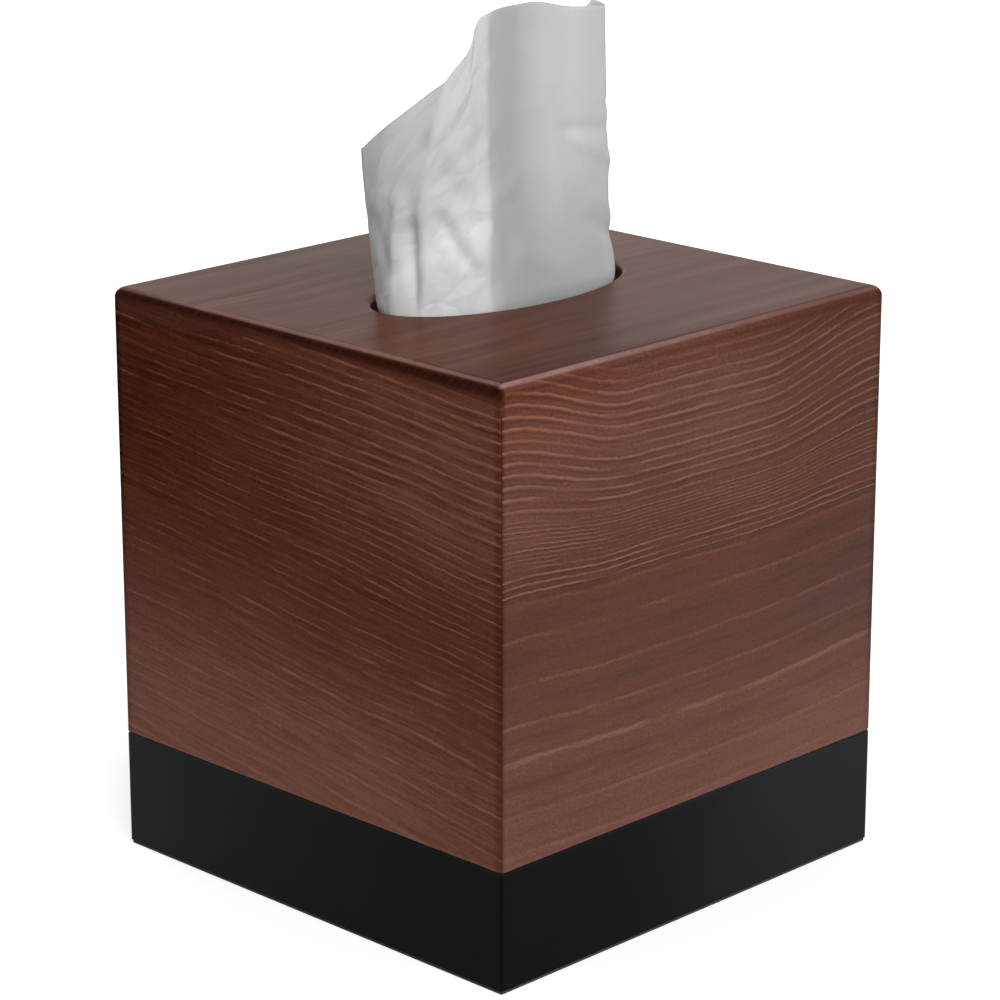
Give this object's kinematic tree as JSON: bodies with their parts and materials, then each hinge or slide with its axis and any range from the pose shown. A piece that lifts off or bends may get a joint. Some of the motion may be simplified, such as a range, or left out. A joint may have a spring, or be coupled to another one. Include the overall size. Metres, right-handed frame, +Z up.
{
  "type": "tissue box cover",
  "caption": "Square wooden tissue box cover in dark stain over a black base tray; the cover lifts off its lip to take a cube carton, and tissues pull up through an oval slot in the top.",
  "frame": {"origin": "middle of the footprint, on the table", "axes": "+Z up; -Y out of the front wall, -X out of the left wall, and the slot's long axis along X"},
  "size_m": [0.133, 0.133, 0.217],
  "materials": {
    "stained_wood": "satin",
    "black_paint": "satin",
    "key_wood": "matte",
    "floor_board": "matte",
    "brad_steel": "satin",
    "felt": "matte",
    "carton_board": "satin",
    "clear_film": "gloss",
    "folded_tissue": "matte",
    "tissue_paper": "matte"
  },
  "bodies": {
    "base": {"base_front_rail": "black_paint", "base_right_rail": "black_paint", "base_back_rail": "black_paint", "base_left_rail": "black_paint", "base_corner_keys": "key_wood", "base_floor": "floor_board", "floor_brads": "brad_steel", "locating_lip_front": "black_paint", "locating_lip_right": "black_paint", "locating_lip_back": "black_paint", "locating_lip_left": "black_paint", "felt_underlay": "felt", "tissue_carton": "carton_board", "carton_film": "clear_film", "tissue_stack": "folded_tissue"},
    "cover": {"front_wall": "stained_wood", "right_wall": "stained_wood", "back_wall": "stained_wood", "left_wall": "stained_wood", "corner_keys": "key_wood", "top_panel": "stained_wood"},
    "tissue": {"pop_up_tissue": "tissue_paper"}
  },
  "joints": [
    {"name": "cover_lift", "type": "slide", "parent": "base", "child": "cover", "axis": [0, 0, 1], "range_m": [0, 0.2]},
    {"name": "tissue_pull", "type": "slide", "parent": "base", "child": "tissue", "axis": [0, 0, 1], "range_m": [0, 0.1]}
  ]
}
